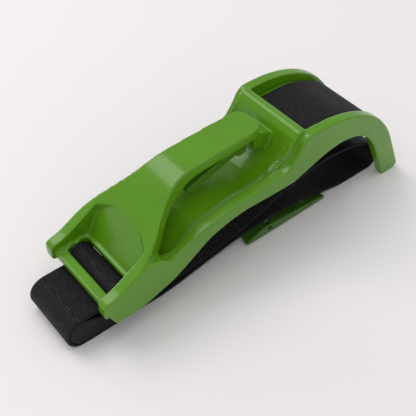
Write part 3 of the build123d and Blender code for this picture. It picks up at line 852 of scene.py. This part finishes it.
@dataclass
class FrameMoulding:
    """The one-piece green body, with softened edges and blended corners."""

    shop: Shop
    voxel: float = 0.75
    passes: int = 6
    tray_half: float = 30.0
    blend_width: float = 8.0
    tray_floor: tuple = (
        (34, 42.0), (44, 44.0), (58, 52.0), (72, 59.0), (101, 62.0), (125, 61.5), (134, 62.7),
        (142, 65.6), (150, 71.5), (155, 79.0), (158, 86.0),
    )
    tray_rim: tuple = (
        (34, 47.0), (44, 48.0), (58, 55.5), (72, 63.0), (101, 67.0), (125, 68.0), (134, 69.5),
        (142, 72.0), (150, 78.0), (155, 85.0), (158, 90.0),
    )

    def corner_blend(self, side: int) -> bpy.types.Object:
        """Make the wedge that rounds the corner between tray floor and side wall.

        Args:
            side: -1 for the near side, 1 for the far side.

        Returns:
            The closed wedge.
        """
        points, faces = [], []
        for (x, floor), (_, rim) in zip(self.tray_floor, self.tray_rim):
            outer, inner = side * (self.tray_half + 1.0), side * (self.tray_half - self.blend_width)
            middle = side * (self.tray_half - self.blend_width * 0.35)
            section = [(outer, floor - 1.0), (outer, rim - 0.8), (middle, floor + (rim - floor) * 0.30)]
            section += [(inner, floor - 0.2), (inner, floor - 1.0)]
            points += [here(x, y, z) for y, z in section]
        count = 5
        for i in range(len(self.tray_floor) - 1):
            for j in range(count):
                a, b = i * count + j, i * count + (j + 1) % count
                faces.append((a, b, b + count, a + count))
        faces.append(tuple(range(count)))
        faces.append(tuple(reversed(range(len(points) - count, len(points)))))
        return self.shop.from_arrays("corner_blend", np.array([tuple(p) for p in points]), faces)

    def lip_bead(self, side: int) -> bpy.types.Object:
        """Make the wavy bead along one end of the nose window.

        Args:
            side: -1 for the near end, 1 for the far end.

        Returns:
            The closed bead.
        """
        points, faces = [], []
        rings, spokes = 40, 8
        for i in range(rings + 1):
            x = -5.0 + 23.5 * i / rings
            wave = 0.9 * math.sin(2 * math.pi * i / rings * 3.0)
            for j in range(spokes):
                angle = 2 * math.pi * j / spokes
                y = side * (28.0 + wave * 0.8 + 1.2 * math.cos(angle))
                points.append(here(x, y, 37.6 + 0.08 * x + wave * 0.6 + 1.3 * math.sin(angle)))
        for i in range(rings):
            for j in range(spokes):
                a, b = i * spokes + j, i * spokes + (j + 1) % spokes
                faces.append((a, b, b + spokes, a + spokes))
        faces.append(tuple(reversed(range(spokes))))
        faces.append(tuple(range(rings * spokes, (rings + 1) * spokes)))
        return self.shop.from_arrays("lip_bead", np.array([tuple(p) for p in points]), faces)

    def build(self) -> None:
        """Join the extra shapes to a copy of the CAD body and soften the whole."""
        body = self.shop.copy_node("frame_body", "body_moulding")
        extras = [self.corner_blend(-1), self.corner_blend(1), self.lip_bead(1), self.lip_bead(-1)]
        work = bmesh.new()
        work.from_mesh(body.data)
        for extra in extras:
            part = bmesh.new()
            part.from_mesh(extra.data)
            bmesh.ops.recalc_face_normals(part, faces=part.faces)
            part.to_mesh(extra.data)
            part.free()
            work.from_mesh(extra.data)
        work.to_mesh(body.data)
        work.free()
        for extra in extras:
            mesh = extra.data
            bpy.data.objects.remove(extra)
            bpy.data.meshes.remove(mesh)
        self.shop.soften(body, self.voxel, self.passes)
        self.shop.finish(body, "leaf_green_nylon", Slot.BODY, Body.FRAME, "frame_body")


@dataclass
class Webbing:
    """The strap: one long ribbed band that runs through the whole tool."""

    shop: Shop
    copies: CopiesOnPoints
    half_width: float = 25.0
    thickness: float = 2.4
    rib_pitch: float = 1.575
    coarse_pitch: float = 2.55
    rib_depth: float = 0.05
    coarse_depth: float = 0.42
    step: float = 0.40
    columns: tuple = (-25.0, -24.75, -24.2, -23.0, -16.0, -8.0, 0.0, 8.0, 16.0, 23.0, 24.2, 24.75, 25.0)
    corners: tuple = (
        (173.6, 62.0), (173.6, 86.0), (208.0, 86.0), (243.0, 71.0), (259.5, 46.3), (252.4, 38.6),
        (240.0, 58.0), (222.0, 62.0), (204.0, 57.0), (190.0, 44.0), (164.0, 37.0), (140.0, 25.0),
        (118.0, 19.0), (87.0, 13.0), (47.0, 7.5), (16.5, 12.0), (16.5, 37.5), (0.5, 37.5),
        (0.5, 25.4), (-34.6, 25.4), (-34.6, 1.2), (50.0, 1.2), (87.0, 8.0), (118.0, 12.7),
        (150.0, 14.0), (180.0, 11.5), (206.0, 6.0), (228.0, 1.2), (266.0, 1.2), (272.0, 15.0),
        (256.0, 31.0), (236.0, 38.5), (210.0, 42.0), (188.0, 40.4), (167.0, 35.0),
    )
    radii: tuple = (
        4.0, 60.0, 45.0, 5.0, 5.0, 8.0, 20.0, 20.0, 16.0, 40.0, 60.0, 80.0,
        80.0, 20.0, 8.0, 7.99, 7.99, 3.0, 12.1, 12.08, 120.0, 120.0, 100.0, 100.0,
        90.0, 60.0, 60.0, 9.0, 12.0, 20.0, 40.0, 60.0, 30.0,
    )

    def coarse_share(self, x: np.ndarray, z: np.ndarray, s: np.ndarray, length: float) -> np.ndarray:
        """Say where the strap has its coarse ribs.

        Args:
            x: station of each point.
            z: height of each point.
            s: distance along the strap.
            length: the strap's length.

        Returns:
            0 where the ribs are fine and 1 where they are coarse.
        """
        start = s[np.argmin(np.hypot(x - 222.0, z - 62.0))]
        end = s[np.argmin(np.hypot(x - 30.0, z - 10.0) + 1000.0 * (s > 0.55 * length))]
        ramp = 6.0
        return np.clip((s - start) / ramp, 0, 1) * np.clip((end - s) / ramp, 0, 1)

    def build(self) -> None:
        """Sweep the band along its route with ribs in its faces, then sew its ends."""
        line = rounded_route(self.corners, self.radii, self.step)
        count = len(line)
        tangent = np.gradient(line, axis=0)
        tangent /= np.linalg.norm(tangent, axis=1)[:, None]
        normal = np.stack([-tangent[:, 1], tangent[:, 0]], 1)
        s = np.r_[0, np.cumsum(np.linalg.norm(np.diff(line, axis=0), axis=1))]
        coarse = self.coarse_share(line[:, 0], line[:, 1], s, s[-1])
        fine_wave = 0.5 - 0.5 * np.cos(2 * np.pi * s / self.rib_pitch)
        coarse_wave = np.clip(0.5 - 0.85 * np.cos(2 * np.pi * s / self.coarse_pitch), 0, 1)
        sink = self.rib_depth * fine_wave * (1 - coarse) + self.coarse_depth * coarse_wave * coarse
        columns = np.array(self.columns)
        edge = np.clip((self.half_width - np.abs(columns)) / 0.8, 0, 1)
        full = self.thickness / 2 * (0.30 + 0.70 * np.sqrt(1 - (1 - edge) ** 2))
        draw = 0.12 * np.sin(2 * np.pi * s / 37.0) + 0.10 * coarse_wave * coarse
        points, coordinates = [], []
        for side in (1, -1):
            for j in range(len(columns)) if side == 1 else reversed(range(len(columns))):
                reach = side * (full[j] - np.minimum(sink, full[j] * 0.6))
                y = columns[j] - np.sign(columns[j]) * np.abs(draw) * (abs(columns[j]) > 22.9)
                x, z = line[:, 0] + normal[:, 0] * reach, line[:, 1] + normal[:, 1] * reach
                points.append(np.stack([(x - STATION_SHIFT) * MM, y * MM, np.maximum(z, 0.02) * MM], 1))
                coordinates.append(np.stack([np.full(count, columns[j] + 25.0), s], 1))
        ring = len(points)
        verts = np.stack(points, 1).reshape(-1, 3)
        uvs = np.stack(coordinates, 1).reshape(-1, 2)
        faces = []
        for i in range(count - 1):
            for j in range(ring):
                a, b = i * ring + j, i * ring + (j + 1) % ring
                faces.append((a, b, b + ring, a + ring))
        faces.append(tuple(reversed(range(ring))))
        faces.append(tuple(range((count - 1) * ring, count * ring)))
        strap = self.shop.from_arrays("ribbed_webbing", verts, faces)
        layer = strap.data.uv_layers.new(name="strap_mm")
        loops = np.zeros(len(strap.data.loops), np.int32)
        strap.data.loops.foreach_get("vertex_index", loops)
        layer.data.foreach_set("uv", uvs[loops].astype(np.float32).ravel())
        work = bmesh.new()
        work.from_mesh(strap.data)
        bmesh.ops.recalc_face_normals(work, faces=work.faces)
        work.to_mesh(strap.data)
        work.free()
        strap.data.shade_smooth()
        self.shop.finish(strap, "black_webbing", Slot.WEBBING, Body.FRAME, "webbing_strap")
        stitches = self.sew(line, normal, s)

    def sew(self, line: np.ndarray, normal: np.ndarray, s: np.ndarray) -> bpy.types.Object:
        """Put rows of stitches near the strap's two ends.

        Args:
            line: the strap's middle line.
            normal: its normals.
            s: distance along it.

        Returns:
            The stitches as one piece.
        """
        bpy.ops.mesh.primitive_uv_sphere_add(segments=8, ring_count=6, radius=1.0)
        stitch = bpy.context.object
        stitch.data.transform(Matrix.Diagonal((1.15 * MM, 0.32 * MM, 0.26 * MM, 1.0)))
        places, turns = [], []
        total = s[-1]
        rows = [(total - 32.0, total - 3.0, y) for y in (-21.5, -7.2, 7.2, 21.5)]
        rows += [(2.5, 12.0, y) for y in (-21.5, 21.5)]
        for start, end, y in rows:
            for distance in np.arange(start, end, 2.8):
                i = int(np.searchsorted(s, distance))
                for side in (1, -1):
                    offset = side * (self.thickness / 2 - 0.12)
                    point = line[i] + normal[i] * offset
                    along = line[min(i + 1, len(line) - 1)] - line[i - 1]
                    places.append(here(point[0], y, point[1]))
                    turns.append((0.0, -math.atan2(along[1], along[0]), 0.0))
        piece = self.copies.place("strap_stitches", stitch, places, turns, "thread_black")
        return self.shop.finish(piece, "thread_black", Slot.WEBBING, Body.FRAME)


@dataclass
class NoseUnit:
    """Front roller, its axle, bushes and washers, and the guide core of the front loop."""

    shop: Shop

    def build(self) -> None:
        """Soften the core and dress the turned pieces."""
        core = self.shop.copy_node("guide_core", "loop_guide_core")
        self.shop.soften(core, 0.7, 4)
        self.shop.finish(core, "satin_black_nylon", Slot.CORE, Body.FRAME, "guide_core")
        self.shop.dress_node("front_roller", "satin_black_nylon")
        self.shop.dress_node("roller_bushes", "sintered_bronze")
        self.shop.dress_node("roller_washers", "zinc_plate")
        self.shop.dress_node("roller_axle", "zinc_plate")


@dataclass
class SaddleUnit:
    """The curved saddle between the cheeks."""

    shop: Shop

    def build(self) -> None:
        """Soften the saddle."""
        saddle = self.shop.copy_node("strap_saddle", "saddle_plate")
        self.shop.soften(saddle, 0.6, 4)
        self.shop.finish(saddle, "saddle_green_nylon", Slot.BODY, Body.FRAME, "strap_saddle")


@dataclass
class ReleaseUnit:
    """Trigger under the handle, the toothed cam it turns, their pins and springs."""

    shop: Shop
    wire: WoundWire
    trigger_spring_at: Place = (96.0, 0.0, 83.6)
    cam_spring_at: Place = (162.1, 9.3, 72.0)

    def build(self) -> None:
        """Soften the lever and wind the two springs."""
        lever = self.shop.copy_node("release_trigger", "release_lever")
        self.shop.soften(lever, 0.5, 5)
        self.shop.finish(lever, "lever_green_nylon", Slot.TRIGGER, Body.TRIGGER, "release_trigger")
        self.shop.dress_node("lock_cam", "hardened_cam_steel")
        self.shop.dress_node("trigger_pin", "zinc_plate")
        self.shop.dress_node("cam_pin", "zinc_plate")
        place = Matrix.Translation(here(*self.trigger_spring_at))
        spring = self.wire.wind("lever_spring", 5, 3.2, 9.5, 0.4, place)
        self.shop.finish(spring, "drawn_spring_wire", Slot.SPRING, Body.FRAME, "trigger_spring")
        place = Matrix.Translation(here(*self.cam_spring_at)) @ ACROSS
        spring = self.wire.wind("cam_return_spring", 2.6, 3.1, 2.6, 0.4, place)
        self.shop.finish(spring, "drawn_spring_wire", Slot.SPRING, Body.FRAME, "cam_spring")


@dataclass
class FootUnit:
    """Hinged foot with its pad and rivets, and the bracket, pin, clip and spring that carry it."""

    shop: Shop
    wire: WoundWire
    spring_at: Place = (146.0, 26.8, 6.5)

    def build(self) -> None:
        """Make the foot's pieces."""
        foot = self.shop.copy_node("foot_shoe", "hinged_foot")
        self.shop.soften(foot, 0.6, 4)
        self.shop.finish(foot, "foot_green_nylon", Slot.TRIGGER, Body.FOOT, "foot_shoe")
        self.shop.dress_node("foot_pad", "grip_rubber")
        self.shop.dress_node("foot_rivets", "painted_rivet")
        self.shop.dress_node("foot_bracket", "black_powder_coat")
        self.shop.dress_node("foot_pin", "zinc_plate")
        self.shop.dress_node("pin_clip", "drawn_spring_wire")
        place = Matrix.Translation(here(*self.spring_at)) @ ACROSS
        spring = self.wire.wind("foot_return_spring", 2.6, 3.2, 2.6, 0.4, place)
        self.shop.finish(spring, "drawn_spring_wire", Slot.SPRING, Body.FRAME, "foot_spring")


def turned_pattern(
    shop: Shop, name: str, profile: Sequence[tuple[float, float]], spokes: int
) -> bpy.types.Object:
    """Turn a profile about Z into a closed mesh.

    Args:
        shop: where meshes are made.
        name: the object's name.
        profile: (radius, height) in millimetres, starting and ending on the axis.
        spokes: points round the axis.

    Returns:
        The turned mesh object.
    """
    points, faces = [], []
    inner = profile[1:-1]
    for radius, height in inner:
        for j in range(spokes):
            angle = 2 * math.pi * j / spokes
            points.append((radius * math.cos(angle) * MM, radius * math.sin(angle) * MM, height * MM))
    for i in range(len(inner) - 1):
        for j in range(spokes):
            a, b = i * spokes + j, i * spokes + (j + 1) % spokes
            faces.append((a, b, b + spokes, a + spokes))
    points += [(0.0, 0.0, profile[0][1] * MM), (0.0, 0.0, profile[-1][1] * MM)]
    low, high = len(points) - 2, len(points) - 1
    last = (len(inner) - 1) * spokes
    for j in range(spokes):
        faces.append((low, (j + 1) % spokes, j))
        faces.append((high, last + j, last + (j + 1) % spokes))
    return shop.from_arrays(name, np.array(points), faces)


@dataclass
class Fasteners:
    """Every screw of the tool, as copies of one turned pattern."""

    shop: Shop
    copies: CopiesOnPoints
    saddle_x: tuple = (184.6, 191.4)
    core_x: tuple = (3.5, 11.5)
    bracket_x: tuple = (139.0, 153.0)

    def screw(self, length: float) -> bpy.types.Object:
        """Turn one screw with a domed head and a round driver socket, head up.

        Args:
            length: length of its shank in millimetres.

        Returns:
            The pattern.
        """
        shank = [(0.0, -length), (0.9, -length), (1.45, -length + 0.9), (1.45, 0.0)]
        head = [(2.7, 0.0), (2.78, 0.5), (2.6, 1.2), (2.1, 1.65), (1.35, 1.8)]
        socket = [(1.2, 1.75), (1.15, 0.9), (0.0, 0.9)]
        profile = [*shank, *head, *socket]
        return turned_pattern(self.shop, "screw_pattern", profile, 24)

    def row(self, name: str, length: float, places: Sequence[Vector], node: str) -> None:
        """Place one set of screws, heads down.

        Args:
            name: the piece's name.
            length: shank length in millimetres.
            places: where the undersides of the heads are.
            node: the CAD node they stand for.
        """
        turns = [(math.pi, 0.0, 0.0)] * len(places)
        piece = self.copies.place(name, self.screw(length), places, turns, "zinc_plate")
        self.shop.finish(piece, "zinc_plate", Slot.ZINC, Body.FRAME, node)

    def build(self) -> None:
        """Place all screws."""
        saddle = [here(x, y, 73.5) for x in self.saddle_x for y in (-27.2, 27.2)]
        self.row("saddle_fixing_screws", 9.0, saddle, "saddle_screws")
        self.row("core_fixing_screws", 14.0, [here(x, 34.0, 11.0) for x in self.core_x], "core_screws")
        bracket = [here(x, 33.0, 53.0) for x in self.bracket_x]
        self.row("bracket_fixing_screws", 12.0, bracket, "bracket_screws")


@dataclass
class Studio:
    """Camera, pale floor and soft light."""

    shop: Shop
    target: Place = (0.0023, 0.0234, 0.0)
    azimuth: float = -38.8
    elevation: float = 46.3
    distance: float = 0.641
    lens: float = 68.48
    lights: tuple = field(default=(
        ("key", (-0.5, 1.4, 2.3), 1.7, 23.0, (1.0, 0.99, 0.97)),
        ("overhead", (0.15, -0.2, 2.2), 2.0, 9.0, (1.0, 1.0, 1.0)),
        ("low_strip", (-0.45, 1.35, 0.42), 0.3, 2.6, (1.0, 1.0, 1.0)),
        ("front_fill", (-0.5, -1.2, 0.8), 1.2, 1.5, (0.97, 0.98, 1.0)),
    ))

    def camera(self) -> None:
        """Set up the camera."""
        azimuth, elevation = math.radians(self.azimuth), math.radians(self.elevation)
        level = math.cos(elevation)
        back = Vector((math.sin(azimuth) * level, -math.cos(azimuth) * level, math.sin(elevation)))
        data = bpy.data.cameras.new("camera")
        data.sensor_width = 36.0
        data.lens = self.lens
        data.clip_start, data.clip_end = 0.01, 50.0
        camera = bpy.data.objects.new("camera", data)
        bpy.context.scene.collection.objects.link(camera)
        camera.location = Vector(self.target) + back * self.distance
        camera.rotation_mode = "QUATERNION"
        camera.rotation_quaternion = (-back).to_track_quat("-Z", "Y")
        bpy.context.scene.camera = camera

    def light(self) -> None:
        """Set up the lights and the world."""
        for name, place, size, power, color in self.lights:
            data = bpy.data.lights.new(name, "AREA")
            data.shape = "DISK"
            data.size, data.energy, data.color = size, power, color
            lamp = bpy.data.objects.new(name, data)
            bpy.context.scene.collection.objects.link(lamp)
            lamp.location = place
            lamp.rotation_mode = "QUATERNION"
            lamp.rotation_quaternion = (-Vector(place)).to_track_quat("-Z", "Y")
        world = bpy.data.worlds.new("room")
        world.use_nodes = True
        world.node_tree.nodes["Background"].inputs["Color"].default_value = (0.96, 0.97, 1.0, 1.0)
        world.node_tree.nodes["Background"].inputs["Strength"].default_value = 0.56
        bpy.context.scene.world = world
        bpy.context.scene.view_settings.view_transform = "Standard"

    def floor(self) -> None:
        """Lay the floor."""
        side = 6.0
        corners = np.array([(-side, -side, 0.0), (side, -side, 0.0), (side, side, 0.0), (-side, side, 0.0)])
        floor = self.shop.from_arrays("paper_floor", corners, [(0, 1, 2, 3)])
        floor.data.materials.append(self.shop.palette.get("pale_paper"))


def main() -> None:
    """Build the studio and every sub-assembly in order."""
    logging.basicConfig(level=logging.INFO, format="%(message)s")
    shop = Shop(Palette())
    studio = Studio(shop)
    studio.camera()
    copies, wire = CopiesOnPoints(shop), WoundWire(shop)
    FrameMoulding(shop).build()
    Webbing(shop, copies).build()
    NoseUnit(shop).build()
    SaddleUnit(shop).build()
    ReleaseUnit(shop, wire).build()
    FootUnit(shop, wire).build()
    Fasteners(shop, copies).build()
    studio.light()
    studio.floor()


if __name__ == "__main__":
    main()
